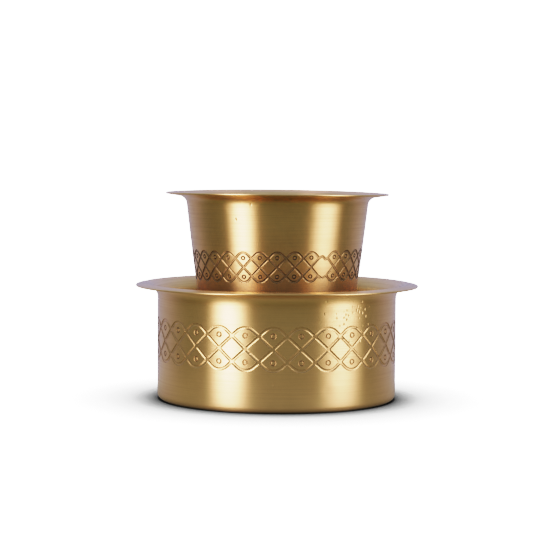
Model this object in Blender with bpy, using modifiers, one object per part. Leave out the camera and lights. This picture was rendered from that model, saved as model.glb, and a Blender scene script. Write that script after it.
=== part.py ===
"""Brass dabara set: a flared coffee tumbler that stands in a shallow flanged bowl.

Metres, +Z up. The origin is the centre of the bowl's underside, on the common axis.
Each vessel is one turned sheet: a line through the middle of the sheet is rounded at
its corners, given a thickness on both sides, closed at the rim and turned about Z.
"""

import math

import bpy
from mathutils import Matrix, Vector

SET_NAME = "dabara_set"

SHEET = 0.0007  # thickness of the brass sheet both vessels are spun from
STANDING_GAP = 0.0003  # left between the tumbler's underside and the bowl's floor
FACETS_AROUND = 64
RIM_FACETS = 4  # across the half-round edge of a rim
BASE_FACETS = 5  # along the rounding between floor and wall
BELLY_FACETS = 5  # along the tumbler's wall
FLANGE_FACETS = 8  # along the rounding between wall and flange
WELD_DISTANCE = 0.00001  # joins the points that meet on the axis

BOWL_RIM_HEIGHT = 0.0442  # top of the rim, a little lower than the crown of the flange
BOWL_RIM_RADIUS = 0.0545
BOWL_WALL_RADIUS = 0.04605  # outside of the straight wall
BOWL_FLANGE_RISE = math.radians(-12.0)  # slope of the flange towards its rim: it droops
BOWL_BASE_ROUNDING = 0.0018  # middle of the sheet, between floor and wall
BOWL_FLANGE_ROUNDING = 0.0053  # middle of the sheet, between wall and flange

TUMBLER_TOP = 0.0797  # height of its rim above the surface that the bowl stands on
TUMBLER_RIM_RADIUS = 0.0430
TUMBLER_NECK_RADIUS = 0.03535  # outside of the wall, drawn on up to the flange
TUMBLER_BASE_RADIUS = 0.0244  # outside of the wall, drawn on down to the underside
TUMBLER_BELLY = 0.0005  # how far the tapered wall swells past a straight line
TUMBLER_FLANGE_RISE = math.radians(8.5)
TUMBLER_BASE_ROUNDING = 0.0030
TUMBLER_FLANGE_ROUNDING = 0.0036
STRAIGHT_ENDS = 1.2  # length of straight wall kept at the belly's ends, in flange roundings

BRASS_COLOUR = (0.62, 0.46, 0.20, 1.0)


def clear_scene():
    for thing in list(bpy.data.objects):
        bpy.data.objects.remove(thing, do_unlink=True)


def make_collection(name):
    collection = bpy.data.collections.new(name)
    bpy.context.scene.collection.children.link(collection)
    return collection


def brass(name, roughness):
    material = bpy.data.materials.new(name)
    material.use_nodes = True
    shader = material.node_tree.nodes["Principled BSDF"]
    shader.inputs["Base Color"].default_value = BRASS_COLOUR
    shader.inputs["Metallic"].default_value = 1.0
    shader.inputs["Roughness"].default_value = roughness
    return material


def corner_arc(before, corner, after, rounding, steps):
    """Points of the arc of that radius that rounds off one corner of a line."""
    back = (before - corner).normalized()
    onward = (after - corner).normalized()
    half_angle = back.angle(onward) / 2
    centre = corner + (back + onward).normalized() * (rounding / math.sin(half_angle))
    start = corner + back * (rounding / math.tan(half_angle)) - centre
    end = corner + onward * (rounding / math.tan(half_angle)) - centre
    turn = -start.angle_signed(end)
    return [centre + Matrix.Rotation(turn * step / steps, 2) @ start for step in range(steps + 1)]


def rounded_line(ends, corners):
    """A line from the first end to the last, with each corner as an arc.

    A corner is (point, radius of its arc, number of facets in it).
    """
    stops = [ends[0]] + [corner[0] for corner in corners] + [ends[1]]
    points = [ends[0]]
    for index, (corner, rounding, steps) in enumerate(corners):
        points += corner_arc(stops[index], corner, stops[index + 2], rounding, steps)
    points.append(ends[1])
    return points


def beside(line, distance):
    """The line moved sideways by that distance, to the left of its direction."""
    moved = []
    for index, point in enumerate(line):
        lefts = []
        if index > 0:
            step = (point - line[index - 1]).normalized()
            lefts.append(Vector((-step.y, step.x)))
        if index < len(line) - 1:
            step = (line[index + 1] - point).normalized()
            lefts.append(Vector((-step.y, step.x)))
        left = sum(lefts, Vector((0.0, 0.0))).normalized()
        moved.append(point + left * (distance / left.dot(lefts[0])))
    return moved


def rim_edge(inner_end, outer_end):
    """Points between the two sides of the sheet, round its half-round edge."""
    centre = (inner_end + outer_end) / 2
    start = inner_end - centre
    turn = -math.pi / RIM_FACETS
    return [centre + Matrix.Rotation(turn * step, 2) @ start for step in range(1, RIM_FACETS)]


def turned_vessel(name, middle, material, collection):
    """One closed solid turned about Z from the middle line of its sheet."""
    inner = beside(middle, SHEET / 2)
    outer = beside(middle, -SHEET / 2)
    profile = inner + rim_edge(inner[-1], outer[-1]) + outer[::-1]
    mesh = bpy.data.meshes.new(name)
    edges = [(index, index + 1) for index in range(len(profile) - 1)]
    mesh.from_pydata([(point.x, 0.0, point.y) for point in profile], edges, [])
    vessel = bpy.data.objects.new(name, mesh)
    collection.objects.link(vessel)
    mesh.materials.append(material)
    turn = vessel.modifiers.new("Turn", "SCREW")
    turn.axis = "Z"
    turn.angle = math.tau
    turn.steps = FACETS_AROUND
    turn.render_steps = FACETS_AROUND
    turn.use_smooth_shade = True
    turn.use_merge_vertices = True
    turn.merge_threshold = WELD_DISTANCE
    return vessel


def bowl_line():
    """Middle of the bowl's sheet, from the centre of its floor to its rim."""
    half = SHEET / 2
    wall = BOWL_WALL_RADIUS - half
    rim = Vector((BOWL_RIM_RADIUS - half, BOWL_RIM_HEIGHT - half))
    flange_root = rim.y - (rim.x - wall) * math.tan(BOWL_FLANGE_RISE)
    return rounded_line(
        (Vector((0.0, half)), rim),
        [
            (Vector((wall, half)), BOWL_BASE_ROUNDING, BASE_FACETS),
            (Vector((wall, flange_root)), BOWL_FLANGE_ROUNDING, FLANGE_FACETS),
        ],
    )


def tumbler_line():
    """Middle of the tumbler's sheet, from the centre of its base to its rim."""
    half = SHEET / 2
    floor = SHEET + STANDING_GAP + half
    base = Vector((TUMBLER_BASE_RADIUS - half, floor))
    rim = Vector((TUMBLER_RIM_RADIUS - half, TUMBLER_TOP - half))
    neck_radius = TUMBLER_NECK_RADIUS - half
    neck = Vector((neck_radius, rim.y - (rim.x - neck_radius) * math.tan(TUMBLER_FLANGE_RISE)))
    along = neck - base
    sideways = Vector((along.y, -along.x)).normalized()
    belly = base + along / 2 + sideways * (2 * TUMBLER_BELLY)
    turn_at_belly = (belly - base).angle(neck - belly)
    straight_ends = STRAIGHT_ENDS * TUMBLER_FLANGE_ROUNDING
    belly_rounding = ((belly - base).length - straight_ends) / math.tan(turn_at_belly / 2)
    return rounded_line(
        (Vector((0.0, floor)), rim),
        [
            (base, TUMBLER_BASE_ROUNDING, BASE_FACETS),
            (belly, belly_rounding, BELLY_FACETS),
            (neck, TUMBLER_FLANGE_ROUNDING, FLANGE_FACETS),
        ],
    )


def build_set():
    clear_scene()
    collection = make_collection(SET_NAME)
    bowl_brass = brass("bowl_brass", 0.32)
    tumbler_brass = brass("tumbler_brass", 0.34)
    turned_vessel("dabara_bowl", bowl_line(), bowl_brass, collection)
    turned_vessel("tumbler", tumbler_line(), tumbler_brass, collection)


build_set()
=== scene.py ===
# Brass dabara set: a coffee tumbler standing in its bowl, both spun from sheet, with a rolled lattice band.
import math

import bpy
import numpy as np
from mathutils import Matrix, Vector
from mathutils.geometry import delaunay_2d_cdt


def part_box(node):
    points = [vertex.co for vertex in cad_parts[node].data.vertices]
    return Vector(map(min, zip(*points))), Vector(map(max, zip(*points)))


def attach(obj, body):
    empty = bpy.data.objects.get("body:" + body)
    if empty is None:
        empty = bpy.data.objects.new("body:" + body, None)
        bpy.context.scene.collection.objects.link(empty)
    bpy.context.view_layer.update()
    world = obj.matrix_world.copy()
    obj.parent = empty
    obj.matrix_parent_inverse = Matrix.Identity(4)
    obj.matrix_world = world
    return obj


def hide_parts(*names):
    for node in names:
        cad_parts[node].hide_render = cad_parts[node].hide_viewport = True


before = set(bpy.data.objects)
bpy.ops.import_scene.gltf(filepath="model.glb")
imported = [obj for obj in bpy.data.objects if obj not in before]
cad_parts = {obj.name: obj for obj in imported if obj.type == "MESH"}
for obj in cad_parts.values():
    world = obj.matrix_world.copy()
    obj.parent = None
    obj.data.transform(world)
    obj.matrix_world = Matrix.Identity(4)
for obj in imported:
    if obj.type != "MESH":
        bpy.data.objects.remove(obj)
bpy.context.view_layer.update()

print("frame loaded:", sorted(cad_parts))

mm = 0.001
degree = math.pi / 180
scene = bpy.context.scene


def addNode(tree, kind, inputs=None, **settings):
    # settings are the node's own properties; inputs are values, or the sockets that feed it
    node = tree.nodes.new(kind)
    for name, value in settings.items():
        setattr(node, name, value)
    for key, value in (inputs or {}).items():
        if isinstance(value, bpy.types.NodeSocket):
            tree.links.new(value, node.inputs[key])
        else:
            node.inputs[key].default_value = value
    return node


def linearColour(hexColour):
    # sRGB hex to the linear RGBA that a shader socket takes
    channels = [int(hexColour[i:i + 2], 16) / 255 for i in (1, 3, 5)]
    return [c / 12.92 if c <= 0.04045 else ((c + 0.055) / 1.055) ** 2.4 for c in channels] + [1.0]


# Turned outlines are lines of (radius, height) points, in metres.

def cornerArc(before, corner, after, rounding, steps):
    back, onward = (before - corner).normalized(), (after - corner).normalized()
    halfAngle = back.angle(onward) / 2
    centre = corner + (back + onward).normalized() * (rounding / math.sin(halfAngle))
    start = corner + back * (rounding / math.tan(halfAngle)) - centre
    turn = -start.angle_signed(corner + onward * (rounding / math.tan(halfAngle)) - centre)
    return [centre + Matrix.Rotation(turn * step / steps, 2) @ start for step in range(steps + 1)]


def roundedLine(first, corners, last):
    # a corner is (point, radius, steps); between two arcs the line is straight
    stops = [first] + [corner[0] for corner in corners] + [last]
    points = [first]
    for index, (corner, rounding, steps) in enumerate(corners):
        points += cornerArc(stops[index], corner, stops[index + 2], rounding, steps)
    return points + [last]


def besideLine(line, distance):
    # the same line moved to its left, which is towards the inside of a vessel
    moved = []
    for index, point in enumerate(line):
        near = line[max(index - 1, 0):index + 2]
        steps = [(b - a).normalized() for a, b in zip(near, near[1:])]
        lefts = [Vector((-step.y, step.x)) for step in steps]
        left = sum(lefts, Vector((0, 0))).normalized()
        moved.append(point + left * (distance / left.dot(lefts[0])))
    return moved


def sheetOutline(middle, sheet, rimSteps=8):
    # from the centre of the floor up the inside, over the half-round rim and down the outside
    inner, outer = besideLine(middle, sheet / 2), besideLine(middle, -sheet / 2)
    centre = (inner[-1] + outer[-1]) / 2
    start = inner[-1] - centre
    rim = [centre + Matrix.Rotation(-math.pi * step / rimSteps, 2) @ start for step in range(1, rimSteps)]
    return inner + rim + outer[::-1]


# The vessels' sizes are in millimetres and degrees. Where each stands, how wide its rim is and how high the
# tumbler is come from the frame.
bowl = {
    "name": "bowl", "node": "dabara_bowl", "body": "dabara", "slot": "bowl_brass",
    "sheet": 0.7,
    "wallRadius": 46.05,  # outside
    "rimHeight": 44.2,  # the rim is a little lower than the crown of the flange
    "flangeRise": -12.0,
    "baseRounding": 1.8,  # this and the next are at the middle of the sheet
    "flangeRounding": 5.3,
    "baseSteps": 8, "flangeSteps": 12,  # straight pieces in each rounding
    "unevenness": 0.05,  # how far the wall wanders in and out, and over what length
    "unevennessSize": 18.0,
    "seed": 3.0,
    "rimLean": 0.0, "rimSaddle": 0.0,
    "rimBump": (2, 0.42, 17),  # knocked up there: turn from the front, height, spread in degrees
    "rimBumpFrom": 49.0,  # only outside this radius
    "dents": [  # turn from the front, height, width, depth
        (24, 36.6, 2.2, 0.05), (31, 37.2, 1.8, 0.04), (36, 35.0, 2.4, 0.05), (27, 33.6, 2.0, 0.05),
        (47, 36.0, 2.2, 0.04), (52, 33.4, 2.6, 0.05), (61, 29.0, 4.0, 0.06), (66, 20.0, 5.0, 0.06),
        (49, 12.6, 2.4, 0.05), (24, 8.0, 3.0, 0.05), (29, 12.0, 2.4, 0.04), (-21, 12.0, 3.0, 0.04),
    ],
    "band": {
        "middle": 23.5,  # height of the band's middle
        "height": 18.4,
        "repeats": 28, "joinTurn": 0.0,  # how often the pattern repeats, and the degrees left for a join
        "startTurn": -7.9,  # where the first repeat starts, in degrees from the front towards +X
        "lean": -0.35,  # how much higher the band runs at +X than in the middle
        "leanReach": (9.0, 16.0),  # the lean is whole this near the band's middle, and gone this far from it
        "rise": 42.6,  # slant of the strands
        "crestRounding": 4.75,
        # half widths of a groove: its floor, the top of its walls, its burrs, and the flat land beside it
        "floorHalf": 0.45, "edgeHalf": 0.60, "shoulderHalf": 0.68, "landHalf": 0.78,
        "depth": 0.16, "burr": 0.02,
        "dotHeight": 4.9,  # of the dots above and below the band's middle
        "dotRing": 0.86,  # radius of the ring round each dot
        "dotLine": 0.42, "dotDepth": 0.6,  # its groove's width and depth, as parts of a strand's
        # how finely the mesh follows all this
        "lineStep": 0.5, "dotSteps": 20, "columns": 8, "fill": 0.9, "borderSteps": 20,
    },
}


def bowlOutline():
    low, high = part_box("dabara_bowl")
    half = bowl["sheet"] * mm / 2
    wall = bowl["wallRadius"] * mm - half
    rim = Vector((high[0] - half, bowl["rimHeight"] * mm - half))
    root = Vector((wall, rim.y - (rim.x - wall) * math.tan(bowl["flangeRise"] * degree)))
    corners = [(Vector((wall, low[2] + half)), bowl["baseRounding"] * mm, bowl["baseSteps"]),
               (root, bowl["flangeRounding"] * mm, bowl["flangeSteps"])]
    return sheetOutline(roundedLine(Vector((0, low[2] + half)), corners, rim), 2 * half)


tumbler = {
    "name": "tumbler_cup", "node": "tumbler", "body": "tumbler", "slot": "tumbler_brass",
    "sheet": 0.7,
    "neckRadius": 35.35, "baseRadius": 24.4,  # outside of the wall, drawn on to the flange and to the base
    "belly": 0.5,  # how far the wall swells past a straight line
    "straightEnds": 1.2,  # room for the roundings at the wall's two ends, in flange roundings
    "flangeRise": 8.5,
    "baseRounding": 3.0,
    "flangeRounding": 3.6,
    "baseSteps": 10, "bellySteps": 16, "flangeSteps": 12,
    "unevenness": 0.04,
    "unevennessSize": 16.0,
    "seed": 8.0,
    "rimLean": 0.25,  # the lip dips towards +X by this many degrees
    "rimSaddle": 0.2,  # and stands this much higher at front and back than at its sides
    "rimBump": (0, 0, 1), "rimBumpFrom": 36.0,  # no height: this lip has no such knock
    "dents": [(-31, 74.2, 1.6, 0.04), (20, 70.0, 3.0, 0.03), (48, 66.0, 3.0, 0.03)],
    "band": {
        "middle": 52.5,
        "height": 13.2,
        "repeats": 31, "joinTurn": 6.5,
        "startTurn": 35.1,
        "lean": 0.40, "leanReach": (9.0, 16.0),
        "rise": 46.0,
        "crestRounding": 2.5,
        "floorHalf": 0.32, "edgeHalf": 0.46, "shoulderHalf": 0.53, "landHalf": 0.62,
        "depth": 0.15, "burr": 0.02,
        "dotHeight": 3.55,
        "dotRing": 0.64, "dotLine": 0.48, "dotDepth": 0.8,
        # corners of the join's two wavy lines: part of the join's width, height, rounding
        "joinAbove": [(0.38, 0.75, 0.6), (0.8, -0.7, 0.4)],
        "joinBelow": [(0.5, -1.2, 0.8)],
        "joinReach": 0.9,  # how far the strands beside the join are followed, in repeats
        "lineStep": 0.4, "dotSteps": 16, "columns": 6, "joinColumns": 3, "fill": 0.7, "borderSteps": 18,
    },
}


def tumblerOutline():
    low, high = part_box("tumbler")
    half = tumbler["sheet"] * mm / 2
    base = Vector((tumbler["baseRadius"] * mm - half, low[2] + half))
    rim = Vector((high[0] - half, high[2] - half))
    neckRadius = tumbler["neckRadius"] * mm - half
    neck = Vector((neckRadius, rim.y - (rim.x - neckRadius) * math.tan(tumbler["flangeRise"] * degree)))
    wall = neck - base
    belly = base + wall / 2 + Vector((wall.y, -wall.x)).normalized() * (2 * tumbler["belly"] * mm)
    straightEnds = tumbler["straightEnds"] * tumbler["flangeRounding"] * mm
    bellyRounding = ((belly - base).length - straightEnds) / math.tan((belly - base).angle(neck - belly) / 2)
    corners = [(base, tumbler["baseRounding"] * mm, tumbler["baseSteps"]),
               (belly, bellyRounding, tumbler["bellySteps"]),
               (neck, tumbler["flangeRounding"] * mm, tumbler["flangeSteps"])]
    return sheetOutline(roundedLine(Vector((0, base.y)), corners, rim), 2 * half)


def lineLengths(line):
    return np.concatenate([[0], np.cumsum([(b - a).length for a, b in zip(line, line[1:])])])


def outsideAt(line, lengths, height):
    # where the outside of the wall passes that height: the length along the outline, and the radius
    level = 1e-7  # a stretch that rises less than this counts as level
    for index in range(len(line) - 2, 0, -1):
        upper, lower = line[index], line[index + 1]
        if upper.y >= height >= lower.y and upper.y - lower.y > level:
            part = (upper.y - height) / (upper.y - lower.y)
            place = lengths[index] + part * (lengths[index + 1] - lengths[index])
            return place, upper.lerp(lower, part).x
    raise ValueError("the outline never passes that height")


# The band is drawn flat, in millimetres: x round the vessel, y up from the band's middle.
bandMesh = {
    "runOn": 1.4,  # how far a strand's lines run past a patch's ends, in half widths of its land
    "borderClear": 0.05,  # mm, kept free between a join's lines and its border
    "grooveClear": 0.4,  # kept free beside lines and borders, in spacings of the points between them
    "joinSteps": 8,  # straight pieces in each corner of a join's line
    "weld": 0.00001,  # points nearer than this become one
}


def strandPoint(x, pitch, band):
    # height and slope of a rounded zigzag, four pitches long, that rises through zero at x = 0
    slant, rounding = band["rise"] * degree, band["crestRounding"]
    slope = math.tan(slant)
    fromTrough = (x + pitch) % (4 * pitch) - 2 * pitch
    side = 1 if fromTrough < 0 else -1
    offset = fromTrough + side * pitch  # from the nearest crest or trough
    if abs(offset) < rounding * math.sin(slant):
        lift = math.sqrt(rounding ** 2 - offset ** 2)
        return side * (slope * pitch - rounding / math.cos(slant) + lift), -side * offset / lift
    return side * slope * (pitch - abs(offset)), -side * slope * math.copysign(1, offset)


def strandLines(start, end, dotPlace, pitch, band):
    # the four strands that cross between two places, as lists of (x, y, slope)
    steps = max(2, math.ceil((end - start) / (band["lineStep"] * math.cos(band["rise"] * degree))))
    places = np.linspace(start, end, steps + 1)
    return [[(x, *strandPoint(x - dotPlace - k * pitch, pitch, band)) for x in places] for k in range(4)]


def joinLine(width, level, corners, band):
    # the wavy line that closes the pattern where its two ends meet
    steps = bandMesh["joinSteps"]
    bends = [(Vector((part * width, level + y)), rounding, steps) for part, y, rounding in corners]
    line = roundedLine(Vector((0, level)), bends, Vector((width, level)))
    fine = []
    for a, b in zip(line, line[1:]):
        count = max(1, round((b - a).length / band["lineStep"]))
        fine += [a.lerp(b, i / count) for i in range(count)]
    fine.append(line[-1])
    slopes = [(b.y - a.y) / (b.x - a.x) for a, b in zip(fine, fine[1:])]
    slopes = [slopes[0]] + [(a + b) / 2 for a, b in zip(slopes, slopes[1:])] + [slopes[-1]]
    return [(p.x, p.y, slope) for p, slope in zip(fine, slopes)]


def lineDistance(places, line):
    # from each place to the nearest point of the line
    line = np.array(line)[:, :2]
    a, b = line[:-1, None, :], line[1:, None, :]
    along = np.clip(((places - a) * (b - a)).sum(2) / ((b - a) ** 2).sum(2), 0, 1)
    return np.linalg.norm(places - (a + along[..., None] * (b - a)), axis=2).min(0)


def besideStrand(line, level):
    # the line moved square to its own slope
    return [Vector((x, y)) + Vector((-slope, 1)).normalized() * level for x, y, slope in line]


def bandPatch(width, columns, strands, dots, band, joins=()):
    # a stretch of the band as triangles whose edges follow every groove: points, depths and faces
    half = band["height"] / 2
    levels = [band[name] for name in ("floorHalf", "edgeHalf", "shoulderHalf")]
    levels.append(band["landHalf"])  # flat, so that smooth shading doesn't reach past it
    sides = [side * level for level in levels for side in (-1, 1)]
    runOn = bandMesh["runOn"] * band["landHalf"]
    points, edges = [], []

    def addLine(line, closed=False):
        first = len(points)
        points.extend(Vector((p[0], p[1])) for p in line)
        edges.extend((i, i + 1) for i in range(first, len(points) - 1))
        if closed:
            edges.append((len(points) - 1, first))

    across = np.linspace(0, width, columns + 1)
    up = np.linspace(-half, half, band["borderSteps"] + 1)
    border = [(x, -half) for x in across] + [(width, y) for y in up[1:-1]]
    border += [(x, half) for x in across[::-1]] + [(0, y) for y in up[-2:0:-1]]
    addLine(border, closed=True)
    for strand in strands:  # run on a little past both ends, so that a join's border matches its neighbour's
        for level in sides:
            line = besideStrand(strand, level)
            before = (line[0] - line[1]).normalized()
            after = (line[-1] - line[-2]).normalized()
            addLine([line[0] + before * runOn, *line, line[-1] + after * runOn])
    borderClear = bandMesh["borderClear"]
    for join in joins:  # kept clear of the border, where they would add points that the neighbour lacks
        for level in sides:
            addLine([p for p in besideStrand(join, level) if borderClear < p.x < width - borderClear])
    for x, y in dots:
        for level in sides:
            ring = band["dotRing"] + level * band["dotLine"]
            turns = np.linspace(0, math.tau, band["dotSteps"], endpoint=False)
            addLine([(x + ring * math.cos(t), y + ring * math.sin(t)) for t in turns], closed=True)
        points.append(Vector((x, y)))

    def grooveDistances(places):
        found = [lineDistance(places, line) for line in [*strands, *joins]]
        for dot in dots:
            fromDot = np.linalg.norm(places - np.array(dot), axis=1)
            found.append(abs(fromDot - band["dotRing"]) / band["dotLine"])
        return np.array(found)

    rows = round(2 * half / band["fill"])
    spare = bandMesh["grooveClear"] * band["fill"]
    between = [((column + 0.5 * (row % 2)) * band["fill"], half * (2 * row / rows - 1))
               for row in range(1, rows) for column in range(1 + round(width / band["fill"]))]
    between = np.array([p for p in between if spare < p[0] < width - spare])
    free = grooveDistances(between).min(0) > band["landHalf"] + spare
    points.extend(Vector(p) for p in between[free])

    found, _, faces, *_ = delaunay_2d_cdt(points, edges, [], 0, bandMesh["weld"])
    places, faces = np.array(found), np.array(faces)
    middles = places[faces].mean(1)
    faces = faces[(middles[:, 0] > 0) & (middles[:, 0] < width) & (abs(middles[:, 1]) < half)]
    used, faces = np.unique(faces, return_inverse=True)
    places = places[used]
    section = [band["depth"], band["depth"], -band["burr"], 0, 0]  # of a groove, from its middle outwards
    depths = np.interp(grooveDistances(places), [0] + levels, section)
    depths[len(depths) - len(dots):] *= band["dotDepth"]
    depth = np.where(depths.max(0) > 1e-9, depths.max(0), depths.min(0))  # a groove cuts another's burr away
    return places, depth, faces.reshape(-1, 3)


stripMesh = {
    "outside": 1.2 * mm, "inside": 2.6 * mm,  # between rows of points along a vessel's outline
    "outsideFrom": 0.47,  # part of the outline's length where the finer rows start, just inside the rim
    "bandClear": 0.3 * mm,  # no row is nearer than this to the band's edge
    "spare": 0.01,  # a stretch that is too long by this part of a spacing gets no extra row
}


def stripObject(name, lengths, width, columns, patch, bandPlace, band):
    # a flat strip of the whole outline: x round the vessel, y depth under the surface, z along the outline
    rows = []
    for start, end in zip(lengths, lengths[1:]):
        finer = start > lengths[-1] * stripMesh["outsideFrom"]
        spacing = stripMesh["outside"] if finer else stripMesh["inside"]
        count = max(1, math.ceil((end - start) / spacing - stripMesh["spare"]))
        rows += list(np.linspace(start, end, 1 + count)[:-1])
    rows.append(lengths[-1])
    top = bandPlace - band["height"] / 2 * mm
    bottom = bandPlace + band["height"] / 2 * mm
    above = [s for s in rows if s < top - stripMesh["bandClear"]]
    below = [s for s in rows if s > bottom + stripMesh["bandClear"]]
    vertices, faces = [], []
    for part in (above + [top], [bottom] + below):
        first = len(vertices)
        vertices += [(width * column / columns * mm, 0, s) for s in part for column in range(columns + 1)]
        for corner in range(first, len(vertices) - columns - 1):
            if (corner - first) % (columns + 1) < columns:
                faces.append((corner, corner + columns + 1, corner + columns + 2, corner + 1))
    places, depth, triangles = patch
    first = len(vertices)
    vertices += [(x * mm, d * mm, bandPlace - y * mm) for (x, y), d in zip(places, depth)]
    faces += [tuple(first + int(i) for i in triangle) for triangle in triangles]
    mesh = bpy.data.meshes.new(name)
    mesh.from_pydata(vertices, [], faces)
    strip = bpy.data.objects.new(name, mesh)
    scene.collection.objects.link(strip)
    return strip


def outlineObject(name, outline):
    curve = bpy.data.curves.new(name, "CURVE")
    curve.dimensions = "3D"
    spline = curve.splines.new("POLY")
    spline.points.add(len(outline) - 1)
    for point, place in zip(spline.points, outline):
        point.co = (place.x, 0, place.y, 1)
    piece = bpy.data.objects.new(name, curve)
    scene.collection.objects.link(piece)
    return piece


def turningTree():
    # repeats the flat strip round the vessel, adds the join, and wraps the row onto the turned outline
    tree = bpy.data.node_groups.new("turned_vessel", "GeometryNodeTree")
    tree.interface.new_socket("Strip", in_out="INPUT", socket_type="NodeSocketGeometry")
    for name, kind in (("Outline", "Object"), ("Join", "Object"),
                       ("Repeats", "Int"), ("Repeat Width", "Float"),
                       ("Band Radius", "Float"), ("Band Place", "Float"), ("Band Lean", "Float"),
                       ("Lean Whole", "Float"), ("Lean Gone", "Float"),
                       ("Start Angle", "Float"), ("Groove Depth", "Float"),
                       ("Unevenness", "Float"), ("Unevenness Size", "Float"), ("Seed", "Float"),
                       ("Brass", "Material")):
        tree.interface.new_socket(name, in_out="INPUT", socket_type="NodeSocket" + kind)
    tree.interface.new_socket("Vessel", in_out="OUTPUT", socket_type="NodeSocketGeometry")
    given = addNode(tree, "NodeGroupInput").outputs

    step = addNode(tree, "ShaderNodeCombineXYZ", {"X": given["Repeat Width"]}).outputs[0]
    row = addNode(tree, "GeometryNodeMeshLine", {"Count": given["Repeats"], "Offset": step}).outputs[0]
    repeats = addNode(tree, "GeometryNodeInstanceOnPoints", {"Points": row, "Instance": given["Strip"]})
    rowEnd = addNode(tree, "ShaderNodeMath", {0: given["Repeat Width"], 1: given["Repeats"]},
                     operation="MULTIPLY").outputs[0]
    joinPlace = addNode(tree, "ShaderNodeCombineXYZ", {"X": rowEnd}).outputs[0]
    join = addNode(tree, "GeometryNodeObjectInfo", {"Object": given["Join"]}).outputs["Geometry"]
    join = addNode(tree, "GeometryNodeTransform", {"Geometry": join, "Translation": joinPlace}).outputs[0]
    both = addNode(tree, "GeometryNodeJoinGeometry", {"Geometry": repeats.outputs[0]})
    tree.links.new(join, both.inputs["Geometry"])
    flat = addNode(tree, "GeometryNodeRealizeInstances", {"Geometry": both.outputs[0]}).outputs[0]

    position = addNode(tree, "GeometryNodeInputPosition").outputs[0]
    at = addNode(tree, "ShaderNodeSeparateXYZ", {0: position}).outputs
    groove = addNode(tree, "ShaderNodeMath", {0: at["Y"], 1: given["Groove Depth"]},
                     operation="DIVIDE").outputs[0]
    for name, value in (("along", at["Z"]), ("groove", groove)):  # the brass reads these
        stored = {"Geometry": flat, "Name": name, "Value": value}
        flat = addNode(tree, "GeometryNodeStoreNamedAttribute", stored,
                       data_type="FLOAT", domain="POINT").outputs[0]

    angle = addNode(tree, "ShaderNodeMath", {0: at["X"], 1: given["Band Radius"]},
                    operation="DIVIDE").outputs[0]
    angle = addNode(tree, "ShaderNodeMath", {0: angle, 1: given["Start Angle"]}, operation="ADD").outputs[0]

    # the band was rolled on by hand, so it leans: it shifts along the wall, most in the middle of the band
    off = addNode(tree, "ShaderNodeMath", {0: at["Z"], 1: given["Band Place"]},
                  operation="SUBTRACT").outputs[0]
    off = addNode(tree, "ShaderNodeMath", {0: off}, operation="ABSOLUTE").outputs[0]
    fade = addNode(tree, "ShaderNodeMapRange", {
        "Value": off, "From Min": given["Lean Whole"], "From Max": given["Lean Gone"],
        "To Min": 1.0, "To Max": 0.0,
    }, interpolation_type="SMOOTHSTEP")
    side = addNode(tree, "ShaderNodeMath", {0: angle}, operation="COSINE").outputs[0]
    lean = addNode(tree, "ShaderNodeMath", {0: side, 1: given["Band Lean"]}, operation="MULTIPLY").outputs[0]
    lean = addNode(tree, "ShaderNodeMath", {0: lean, 1: fade.outputs[0]}, operation="MULTIPLY").outputs[0]
    place = addNode(tree, "ShaderNodeMath", {0: at["Z"], 1: lean}, operation="SUBTRACT").outputs[0]

    outline = addNode(tree, "GeometryNodeObjectInfo", {"Object": given["Outline"]}).outputs["Geometry"]
    on = addNode(tree, "GeometryNodeSampleCurve", {"Curves": outline, "Length": place}, mode="LENGTH").outputs
    heading = addNode(tree, "ShaderNodeSeparateXYZ", {0: on["Tangent"]}).outputs
    inwardX = addNode(tree, "ShaderNodeMath", {0: heading["X"], 1: -1.0}, operation="MULTIPLY").outputs[0]
    inward = addNode(tree, "ShaderNodeCombineXYZ", {"X": heading["Z"], "Z": inwardX}).outputs[0]
    sunk = addNode(tree, "ShaderNodeVectorMath", {0: inward, 1: at["Y"], 2: on["Position"]},
                   operation="MULTIPLY_ADD").outputs[0]
    turned = addNode(tree, "ShaderNodeVectorRotate", {"Vector": sunk, "Axis": (0, 0, 1),
                                                      "Angle": angle}).outputs[0]
    vessel = addNode(tree, "GeometryNodeSetPosition", {"Geometry": flat, "Position": turned}).outputs[0]

    # a slow noise moves the wall in and out, because sheet spun by hand is never quite true
    scale = addNode(tree, "ShaderNodeMath", {0: 1.0, 1: given["Unevenness Size"]},
                    operation="DIVIDE").outputs[0]
    noise = addNode(tree, "ShaderNodeTexNoise", {"Vector": position, "W": given["Seed"], "Scale": scale,
                                                 "Detail": 1.0}, noise_dimensions="4D").outputs[0]
    shift = addNode(tree, "ShaderNodeMath", {0: noise, 1: -0.5}, operation="ADD").outputs[0]
    shift = addNode(tree, "ShaderNodeMath", {0: shift, 1: given["Unevenness"]},
                    operation="MULTIPLY").outputs[0]
    level = addNode(tree, "ShaderNodeVectorMath", {0: position, 1: (1, 1, 0)},
                    operation="MULTIPLY").outputs[0]
    outward = addNode(tree, "ShaderNodeVectorMath", {0: level}, operation="NORMALIZE").outputs[0]
    offset = addNode(tree, "ShaderNodeVectorMath", {0: outward, "Scale": shift}, operation="SCALE").outputs[0]
    vessel = addNode(tree, "GeometryNodeSetPosition", {"Geometry": vessel, "Offset": offset}).outputs[0]

    weld = 0.01 * mm
    whole = addNode(tree, "GeometryNodeMergeByDistance", {"Geometry": vessel, "Distance": weld}).outputs[0]
    smooth = addNode(tree, "GeometryNodeSetShadeSmooth", {"Geometry": whole}).outputs[0]
    real = addNode(tree, "GeometryNodeRealizeInstances", {"Geometry": smooth}).outputs[0]
    done = addNode(tree, "GeometryNodeSetMaterial", {"Geometry": real, "Material": given["Brass"]}).outputs[0]
    addNode(tree, "NodeGroupOutput", {"Vessel": done})
    return tree


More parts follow.
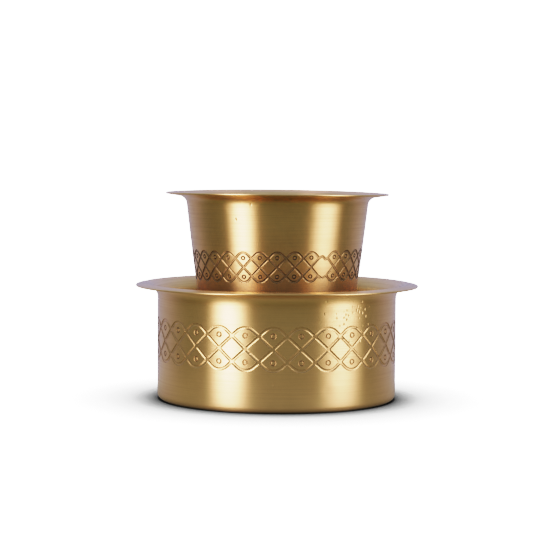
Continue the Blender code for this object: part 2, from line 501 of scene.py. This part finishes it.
def handMarks(mesh, vessel):
    # the lip leans a little, and knocks have left shallow dents
    places = np.empty(len(mesh.vertices) * 3)
    mesh.vertices.foreach_get("co", places)
    places = places.reshape(-1, 3)
    low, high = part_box(vessel["node"])
    lifted = np.clip((places[:, 2] - low[2]) / (high[2] - low[2]), 0, 1) ** 3
    turns = np.arctan2(places[:, 0], -places[:, 1])
    radii = np.hypot(places[:, 0], places[:, 1])
    places[:, 2] -= places[:, 0] * lifted * math.tan(vessel["rimLean"] * degree)
    places[:, 2] += np.cos(2 * turns) * lifted * vessel["rimSaddle"] * mm
    turn, height, spread = vessel["rimBump"]
    bumpFrom = vessel["rimBumpFrom"] * mm
    outermost = np.clip((radii - bumpFrom) / (high[0] - bumpFrom), 0, 1) ** 2
    places[:, 2] += height * mm * np.exp(-((turns / degree - turn) / spread) ** 2) * outermost
    wall = radii > high[0] / 2  # so the floor stays flat
    for turn, height, width, depth in vessel["dents"]:
        aside = (turns - turn * degree) * radii
        above = places[:, 2] - height * mm
        press = depth * mm * np.exp(-(aside ** 2 + above ** 2) / (width / 2 * mm) ** 2) * wall
        places[:, :2] *= (1 - press / np.maximum(radii, mm))[:, None]
    mesh.vertices.foreach_set("co", places.ravel())
    mesh.update()


def turnedVessel(vessel, outline, brass, tree):
    band = vessel["band"]
    lengths = lineLengths(outline)
    bandPlace, bandRadius = outsideAt(outline, lengths, band["middle"] * mm)
    pitch = bandRadius / mm * (360 - band["joinTurn"]) / band["repeats"] * degree
    joinWidth = bandRadius / mm * band["joinTurn"] * degree
    level = math.tan(band["rise"] * degree) * pitch / 2
    margin = band["landHalf"] * 2
    dots = [(pitch / 2, band["dotHeight"]), (pitch / 2, -band["dotHeight"])]
    strands = strandLines(-margin, pitch + margin, pitch / 2, pitch, band)
    patch = bandPatch(pitch, band["columns"], strands, dots, band)
    strip = stripObject(vessel["name"] + "_strip", lengths, pitch, band["columns"], patch, bandPlace, band)
    outlineCurve = outlineObject(vessel["name"] + "_outline", outline)
    joinStrip = None
    if joinWidth:
        reach = band["joinReach"] * pitch
        ends = strandLines(-reach, 0, -pitch / 2, pitch, band)
        ends += strandLines(joinWidth, joinWidth + reach, joinWidth + pitch / 2, pitch, band)
        joins = [joinLine(joinWidth, level, band["joinAbove"], band)]
        joins.append(joinLine(joinWidth, -level, band["joinBelow"], band))
        patch = bandPatch(joinWidth, band["joinColumns"], ends, [], band, joins)
        joinName = vessel["name"] + "_join"
        joinStrip = stripObject(joinName, lengths, joinWidth, band["joinColumns"], patch, bandPlace, band)

    turning = strip.modifiers.new("Turn", "NODES")
    turning.node_group = tree
    sockets = {socket.name: socket.identifier for socket in tree.interface.items_tree}
    leanWhole, leanGone = band["leanReach"]
    for name, value in (("Outline", outlineCurve), ("Join", joinStrip),
                        ("Repeats", band["repeats"]), ("Repeat Width", pitch * mm),
                        ("Start Angle", (band["startTurn"] - 90) * degree),
                        ("Band Radius", bandRadius), ("Band Place", bandPlace),
                        ("Groove Depth", band["depth"] * mm), ("Band Lean", band["lean"] * mm),
                        ("Lean Whole", leanWhole * mm), ("Lean Gone", leanGone * mm),
                        ("Unevenness", vessel["unevenness"] * mm),
                        ("Unevenness Size", vessel["unevennessSize"] * mm),
                        ("Seed", vessel["seed"]), ("Brass", brass)):
        turning[sockets[name]] = value
    graph = bpy.context.evaluated_depsgraph_get()
    turned = strip.evaluated_get(graph)
    mesh = bpy.data.meshes.new_from_object(turned, preserve_all_data_layers=True, depsgraph=graph)
    strip.modifiers.remove(turning)
    for helper in filter(None, (strip, outlineCurve, joinStrip)):
        bpy.data.objects.remove(helper, do_unlink=True)
    mesh.name = vessel["name"]
    handMarks(mesh, vessel)
    piece = bpy.data.objects.new(vessel["name"], mesh)
    scene.collection.objects.link(piece)
    print(vessel["name"], "turned:", sum(len(face.vertices) - 2 for face in mesh.polygons), "triangles")
    return piece


# Brass sheet, spun on a lathe and brushed while it turned: fine scores run round the axis, so light spreads
# up and down in long soft streaks. The grooves hold brown tarnish, and painted shade darkens their walls.
bowlBrass = {
    "name": "spun_brass_bowl",
    # the groove colour is partly brown tarnish and partly painted shade on the grooves' walls
    "metal": "#EFCD95", "tarnish": "#96733C", "grooveTarnishAndShade": "#7A4A26",
    "roughness": 0.33, "roughnessSpread": 0.05,
    "anisotropy": 0.9,
    "scoreWidth": 0.38, "scoreLength": 30.0,  # mm; real scores are near 0.05 wide, drawn coarser to show
    "scoreRange": (0.3, 0.7),  # of the noise, from the smoothest score to the roughest
    "scoreHeight": 0.0022, "scoreTarnish": 0.08,  # relief, and how much tarnish the deeper scores hold
    "scoreTarnishRange": (0.42, 0.68),
    "tarnishSize": 26.0, "tarnishAmount": 0.08,  # slow patches over the whole sheet
    "tarnishRange": (0.40, 0.70),
    "tarnishAndShadeRamp": [(0.0, 0.0), (0.3, 0.5), (0.75, 0.5), (1.0, 0.1)],  # how deep in the groove, how strong the tarnish and painted shade
    "grooveRoughness": 0.25,  # added where the groove's tarnish and painted shade are full
    "pitSize": 1.4, "pitDepth": 0.09,  # small knocks: distance from one to the next, and depth, mm
    "pitStretch": 0.6,  # heights count for this much, so that the knocks are taller than wide
    "pitEdge": 0.35,  # radius of a knock, in pit sizes
    "pitShare": 0.85, "strayShare": 0.006,  # how many places have one, in the worst patch and far off
    "pitTurn": 35, "pitRadius": 46.0, "pitLevel": 36.0,  # the middle of that patch
    "pitReach": (5.0, 14.0),  # the knocks thin out between these distances from it
}
tumblerBrass = dict(
    # darker groove colour: brown tarnish, and painted shade on the grooves' walls
    bowlBrass, name="spun_brass_tumbler", grooveTarnishAndShade="#3F2414", scoreTarnish=0.12,
    tarnishSize=18.0, tarnishAmount=0.10, tarnishAndShadeRamp=[(0.0, 0.0), (0.3, 0.9), (0.75, 0.9), (1.0, 0.35)],
    pitShare=0.06, pitTurn=-30, pitRadius=37.0, pitLevel=72.0,
)


def spunBrass(look):
    material = bpy.data.materials.new(look["name"])
    material.use_nodes = True
    tree = material.node_tree
    shader = tree.nodes["Principled BSDF"]
    shader.inputs["Metallic"].default_value = 1.0
    shader.inputs["Anisotropic"].default_value = look["anisotropy"]
    shader.inputs["Anisotropic Rotation"].default_value = 0.25  # light spreads across the scores
    here = addNode(tree, "ShaderNodeTexCoord").outputs["Object"]
    at = addNode(tree, "ShaderNodeSeparateXYZ", {0: here}).outputs
    along = addNode(tree, "ShaderNodeAttribute", attribute_name="along").outputs["Fac"]
    groove = addNode(tree, "ShaderNodeAttribute", attribute_name="groove").outputs["Fac"]

    backwards = addNode(tree, "ShaderNodeMath", {0: at["Y"], 1: -1.0}, operation="MULTIPLY").outputs[0]
    roundAxis = addNode(tree, "ShaderNodeCombineXYZ", {"X": backwards, "Y": at["X"]}).outputs[0]
    tree.links.new(roundAxis, shader.inputs["Tangent"])

    # scores: noise stretched round the axis and squeezed along the outline
    squeeze = look["scoreLength"] / look["scoreWidth"]
    squeezed = addNode(tree, "ShaderNodeMath", {0: along, 1: squeeze}, operation="MULTIPLY").outputs[0]
    scoreAt = addNode(tree, "ShaderNodeCombineXYZ", {"X": at["X"], "Y": at["Y"], "Z": squeezed}).outputs[0]
    scores = addNode(tree, "ShaderNodeTexNoise", {"Vector": scoreAt, "Scale": 1 / (look["scoreLength"] * mm),
                                                  "Detail": 3.0, "Roughness": 0.65}).outputs["Fac"]
    roughness = addNode(tree, "ShaderNodeMapRange", {
        "Value": scores, "From Min": look["scoreRange"][0], "From Max": look["scoreRange"][1],
        "To Min": look["roughness"] - look["roughnessSpread"],
        "To Max": look["roughness"] + look["roughnessSpread"],
    }).outputs[0]

    # tarnish: slow patches over the whole sheet and thin lines in the deeper scores; in the grooves, tarnish
    # and painted shade
    patches = addNode(tree, "ShaderNodeTexNoise", {"Vector": here, "Scale": 1 / (look["tarnishSize"] * mm),
                                                   "Detail": 4.0, "Roughness": 0.6}).outputs["Fac"]
    tarnished = addNode(tree, "ShaderNodeMapRange", {
        "Value": patches, "From Min": look["tarnishRange"][0], "From Max": look["tarnishRange"][1],
        "To Max": look["tarnishAmount"],
    }, interpolation_type="SMOOTHSTEP").outputs[0]
    lines = addNode(tree, "ShaderNodeMapRange", {
        "Value": scores, "From Min": look["scoreTarnishRange"][0], "From Max": look["scoreTarnishRange"][1],
        "To Max": look["scoreTarnish"],
    }).outputs[0]
    tarnished = addNode(tree, "ShaderNodeMath", {0: tarnished, 1: lines}, operation="ADD").outputs[0]
    metal = addNode(tree, "ShaderNodeMix", {0: tarnished, 6: linearColour(look["metal"]),
                                            7: linearColour(look["tarnish"])}, data_type="RGBA").outputs[2]
    # brown tarnish and painted shade in the grooves: strongest on a groove's walls, weaker on its floor
    tarnishAndShadeRamp = addNode(tree, "ShaderNodeValToRGB", {"Fac": groove})
    for place, amount in look["tarnishAndShadeRamp"][1:-1]:
        tarnishAndShadeRamp.color_ramp.elements.new(place)
    for element, (place, amount) in zip(tarnishAndShadeRamp.color_ramp.elements, look["tarnishAndShadeRamp"]):
        element.position = place
        element.color = (amount, amount, amount, 1)
    tarnishedAndShaded = tarnishAndShadeRamp.outputs[0]
    metal = addNode(tree, "ShaderNodeMix", {0: tarnishedAndShaded, 6: metal, 7: linearColour(look["grooveTarnishAndShade"])},
                    data_type="RGBA").outputs[2]
    tree.links.new(metal, shader.inputs["Base Color"])
    dulled = addNode(tree, "ShaderNodeMath", {0: tarnishedAndShaded, 1: look["grooveRoughness"], 2: roughness},
                     operation="MULTIPLY_ADD").outputs[0]
    tree.links.new(dulled, shader.inputs["Roughness"])

    # relief: the scores, and scattered pits
    pitSpace = addNode(tree, "ShaderNodeVectorMath", {0: here, 1: (1, 1, look["pitStretch"])},
                       operation="MULTIPLY").outputs[0]
    pits = addNode(tree, "ShaderNodeTexVoronoi", {"Vector": pitSpace,
                                                  "Scale": 1 / (look["pitSize"] * mm)}).outputs
    turn, radius = look["pitTurn"] * degree, look["pitRadius"] * mm
    middle = (radius * math.sin(turn), -radius * math.cos(turn), look["pitLevel"] * mm)
    far = addNode(tree, "ShaderNodeVectorMath", {0: here, 1: middle}, operation="DISTANCE").outputs["Value"]
    share = addNode(tree, "ShaderNodeMapRange", {
        "Value": far, "From Min": look["pitReach"][0] * mm, "From Max": look["pitReach"][1] * mm,
        "To Min": look["pitShare"], "To Max": look["strayShare"],
    }).outputs[0]
    chosen = addNode(tree, "ShaderNodeSeparateXYZ", {0: pits["Color"]}).outputs[0]
    chosen = addNode(tree, "ShaderNodeMath", {0: chosen, 1: share}, operation="LESS_THAN").outputs[0]
    hollow = addNode(tree, "ShaderNodeMapRange", {
        "Value": pits["Distance"], "From Max": look["pitEdge"], "To Min": -1.0, "To Max": 0.0,
    }, interpolation_type="SMOOTHSTEP").outputs[0]
    pitted = addNode(tree, "ShaderNodeMath", {0: chosen, 1: hollow}, operation="MULTIPLY").outputs[0]
    pitted = addNode(tree, "ShaderNodeMath", {0: pitted, 1: look["pitDepth"] * mm},
                     operation="MULTIPLY").outputs[0]
    relief = addNode(tree, "ShaderNodeMath", {0: scores, 1: look["scoreHeight"] * mm, 2: pitted},
                     operation="MULTIPLY_ADD").outputs[0]
    bump = addNode(tree, "ShaderNodeBump", {"Height": relief, "Distance": 1.0}).outputs[0]
    tree.links.new(bump, shader.inputs["Normal"])
    return material


vesselTree = turningTree()
bowlPiece = turnedVessel(bowl, bowlOutline(), spunBrass(bowlBrass), vesselTree)
tumblerPiece = turnedVessel(tumbler, tumblerOutline(), spunBrass(tumblerBrass), vesselTree)
for vessel, piece in ((bowl, bowlPiece), (tumbler, tumblerPiece)):
    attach(piece, vessel["body"])
    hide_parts(vessel["node"])

# The studio: pale floor, white surround, two tall softboxes. The brass mirrors a darker room than is seen.
studio = {
    "floorSize": 6.0,
    "floorWhite": 4.2, "floorMirrored": 0.5,  # the table as the eye sees it, and as the brass mirrors it
    "mirrorNear": 0.06, "mirrorFar": 0.11,  # the mirrored table fades out between these, in metres
    "shadowReach": 0.036,  # metres round the bowl
    "shadowSamples": 16,
    "shadowDepth": 5.2, "shadowMirrored": 1.2,  # as the eye sees it, and as the brass mirrors it
    "surroundWhite": 4.5, "roomBright": 1.0,  # as the eye sees it, and as the brass mirrors it
    # colours from the ground (-90 degrees) up to overhead (90)
    "frontRoom": [(-90, "#8B9B79"), (-45, "#7C8E6C"), (-25, "#7D7E65"), (-8, "#7C7161"), (5, "#A7B3AD"),
                  (25, "#B3BFD3"), (45, "#BCC8E7"), (90, "#BCCBED")],
    "backRoom": [(-90, "#BDBCDB"), (0, "#B5B6D4"), (25, "#C4CEFF"), (90, "#C4CEFF")],
    "backBlend": (0.05, 0.85),  # where front turns to back: how far a direction points to +Y
    "boxDistance": 1.0, "boxLow": -0.62, "boxHigh": 1.4,
    "boxRise": 2.0,  # a box's top is this many times as bright as its bottom
    "boxFade": 0.1,  # part of a box's height over which each end fades out
    "boxes": [  # name, turn from the front towards +X, degrees across, radiance, colour
        ("left_softbox", -45.9, 47.0, 4.5, "#F3EAFF"),
        ("right_softbox", 65.2, 54.0, 2.7, "#EFE9FF"),
    ],
}


def paleFloor():
    # a white table that glows evenly; its contact shadow is painted from ambient occlusion round the bowl,
    # and the brass mirrors a dimmer painted copy of it near the bowl
    mesh = bpy.data.meshes.new("floor")
    reach = studio["floorSize"] / 2
    mesh.from_pydata([(-reach, -reach, 0), (reach, -reach, 0), (reach, reach, 0), (-reach, reach, 0)],
                     [], [(0, 1, 2, 3)])
    material = bpy.data.materials.new("white_table")
    material.use_nodes = True
    tree = material.node_tree
    tree.nodes.clear()
    openness = addNode(tree, "ShaderNodeAmbientOcclusion", {"Distance": studio["shadowReach"]},
                       samples=studio["shadowSamples"]).outputs["AO"]
    mirrored = addNode(tree, "ShaderNodeLightPath").outputs["Is Glossy Ray"]
    depth = addNode(tree, "ShaderNodeMapRange", {"Value": mirrored, "To Min": studio["shadowDepth"],
                                                 "To Max": studio["shadowMirrored"]}).outputs[0]
    lit = addNode(tree, "ShaderNodeMath", {0: openness, 1: depth}, operation="POWER").outputs[0]
    bright = addNode(tree, "ShaderNodeMapRange", {"Value": mirrored, "To Min": studio["floorWhite"],
                                                  "To Max": studio["floorMirrored"]}).outputs[0]
    lit = addNode(tree, "ShaderNodeMath", {0: lit, 1: bright}, operation="MULTIPLY").outputs[0]
    glow = addNode(tree, "ShaderNodeEmission", {"Strength": lit}).outputs[0]
    here = addNode(tree, "ShaderNodeTexCoord").outputs["Object"]
    away = addNode(tree, "ShaderNodeVectorMath", {0: here}, operation="LENGTH").outputs["Value"]
    gone = addNode(tree, "ShaderNodeMapRange", {"Value": away, "From Min": studio["mirrorNear"],
                                                "From Max": studio["mirrorFar"]}).outputs[0]
    gone = addNode(tree, "ShaderNodeMath", {0: gone, 1: mirrored}, operation="MULTIPLY").outputs[0]
    clear = addNode(tree, "ShaderNodeBsdfTransparent").outputs[0]
    surface = addNode(tree, "ShaderNodeMixShader", {0: gone, 1: glow, 2: clear}).outputs[0]
    addNode(tree, "ShaderNodeOutputMaterial", {"Surface": surface})
    material.cycles.emission_sampling = "NONE"  # so the brass sees only the mirrored brightness
    mesh.materials.append(material)
    floor = bpy.data.objects.new("floor", mesh)
    scene.collection.objects.link(floor)
    floor.visible_shadow = False


def softBox(name, turn, across, radiance, colour):
    width = 2 * studio["boxDistance"] * math.tan(across / 2 * degree)
    height = studio["boxHigh"] - studio["boxLow"]
    light = bpy.data.lights.new(name, "AREA")
    light.shape = "RECTANGLE"
    light.size, light.size_y = width, height
    light.energy = radiance * width * height * math.pi  # an area light's watts from its radiance
    light.color = linearColour(colour)[:3]
    light.use_nodes = True  # a softbox is brightest in its middle and fades towards its edges
    tree = light.node_tree
    onBox = addNode(tree, "ShaderNodeTexCoord").outputs["UV"]
    at = addNode(tree, "ShaderNodeSeparateXYZ", {0: onBox}).outputs
    wave = addNode(tree, "ShaderNodeMath", {0: at["X"], 1: math.tau}, operation="MULTIPLY").outputs[0]
    wave = addNode(tree, "ShaderNodeMath", {0: wave}, operation="COSINE").outputs[0]
    wave = addNode(tree, "ShaderNodeMath", {0: wave, 1: -0.5, 2: 0.5}, operation="MULTIPLY_ADD").outputs[0]
    off = addNode(tree, "ShaderNodeMath", {0: at["Y"], 1: 0.5}, operation="SUBTRACT").outputs[0]
    off = addNode(tree, "ShaderNodeMath", {0: off}, operation="ABSOLUTE").outputs[0]
    ends = addNode(tree, "ShaderNodeMapRange", {"Value": off, "From Min": 0.5,
                                                "From Max": 0.5 - studio["boxFade"]},
                   interpolation_type="SMOOTHSTEP").outputs[0]
    foot = 2 / (1 + studio["boxRise"])
    rise = addNode(tree, "ShaderNodeMapRange", {"Value": at["Y"], "To Min": foot,
                                                "To Max": 2 - foot}).outputs[0]
    ends = addNode(tree, "ShaderNodeMath", {0: rise, 1: ends}, operation="MULTIPLY").outputs[0]
    strength = addNode(tree, "ShaderNodeMath", {0: wave, 1: ends}, operation="MULTIPLY").outputs[0]
    tree.links.new(strength, tree.nodes["Emission"].inputs["Strength"])
    box = bpy.data.objects.new(name, light)
    out = Vector((math.sin(turn * degree), -math.cos(turn * degree), 0))
    box.location = out * studio["boxDistance"] + Vector((0, 0, (studio["boxHigh"] + studio["boxLow"]) / 2))
    box.rotation_euler = out.to_track_quat("Z", "Y").to_euler()
    box.visible_camera = False
    scene.collection.objects.link(box)


def surround():
    world = bpy.data.worlds.new("studio_room")
    world.use_nodes = True
    tree = world.node_tree
    tree.nodes.clear()
    towards = addNode(tree, "ShaderNodeTexCoord").outputs["Generated"]
    along = addNode(tree, "ShaderNodeSeparateXYZ", {0: towards}).outputs
    up = addNode(tree, "ShaderNodeMath", {0: along["Z"]}, operation="ARCSINE").outputs[0]
    up = addNode(tree, "ShaderNodeMapRange", {"Value": up, "From Min": -math.pi / 2,
                                              "From Max": math.pi / 2}).outputs[0]
    rooms = []
    for stops in (studio["frontRoom"], studio["backRoom"]):
        ramp = addNode(tree, "ShaderNodeValToRGB", {"Fac": up})
        while len(ramp.color_ramp.elements) < len(stops):
            ramp.color_ramp.elements.new(0.5)
        for element, (angle, colour) in zip(ramp.color_ramp.elements, stops):
            element.position = (angle + 90) / 180
            element.color = linearColour(colour)
        rooms.append(ramp.outputs["Color"])
    blendFrom, blendTo = studio["backBlend"]
    behind = addNode(tree, "ShaderNodeMapRange", {"Value": along["Y"], "From Min": blendFrom,
                                                  "From Max": blendTo},
                     interpolation_type="SMOOTHSTEP").outputs[0]
    room = addNode(tree, "ShaderNodeMix", {0: behind, 6: rooms[0], 7: rooms[1]}, data_type="RGBA").outputs[2]
    mirrored = addNode(tree, "ShaderNodeLightPath").outputs["Is Glossy Ray"]
    seen = addNode(tree, "ShaderNodeMix", {0: mirrored, 6: (1, 1, 1, 1), 7: room},
                   data_type="RGBA").outputs[2]
    bright = addNode(tree, "ShaderNodeMapRange", {"Value": mirrored, "To Min": studio["surroundWhite"],
                                                  "To Max": studio["roomBright"]}).outputs[0]
    sky = addNode(tree, "ShaderNodeBackground", {"Color": seen, "Strength": bright}).outputs[0]
    addNode(tree, "ShaderNodeOutputWorld", {"Surface": sky})
    world.cycles.sampling_method = "NONE"  # the room is followed along mirrored rays only
    scene.world = world


# Bright parts fade slowly to white, as on film; each point of the curve is (light, brightness).
film = {
    "whiteLevel": 4.0,
    "curve": [(0.0, 0.0), (0.08, 0.035), (0.18, 0.119), (0.37, 0.352), (0.70, 0.67), (1.0, 0.82), (2.0, 0.93),
              (3.0, 0.97), (4.0, 1.0)],
}


def softFilm():
    scene.display_settings.display_device = "sRGB"
    settings = scene.view_settings
    settings.view_transform = "Standard"
    settings.use_curve_mapping = True
    mapping = settings.curve_mapping
    mapping.white_level = [film["whiteLevel"]] * 3
    curve = mapping.curves[3]  # the one for all three colours together
    while len(curve.points) < len(film["curve"]):
        curve.points.new(0.5, 0.5)
    for point, (light, brightness) in zip(curve.points, film["curve"]):
        point.location = (light / film["whiteLevel"], brightness)
    mapping.update()


# The camera stands in front, a little above the rims, and looks slightly down. Metres, degrees, lens in mm.
view = {"distance": 0.71346, "height": 0.0957, "down": 3.59, "aside": 0.327, "roll": 0.376, "lens": 124.84}


def frontCamera():
    camera = bpy.data.cameras.new("front")
    camera.lens = view["lens"]
    camera.clip_start = 0.01
    stand = bpy.data.objects.new("front", camera)
    turn = Matrix.Rotation(view["aside"] * degree, 4, "Z")
    turn = turn @ Matrix.Rotation((90 - view["down"]) * degree, 4, "X")
    turn = turn @ Matrix.Rotation(view["roll"] * degree, 4, "Z")
    stand.matrix_world = Matrix.Translation((0, -view["distance"], view["height"])) @ turn
    scene.collection.objects.link(stand)
    scene.camera = stand


paleFloor()
for box in studio["boxes"]:
    softBox(*box)
surround()
softFilm()
frontCamera()
print("studio lit and camera placed")
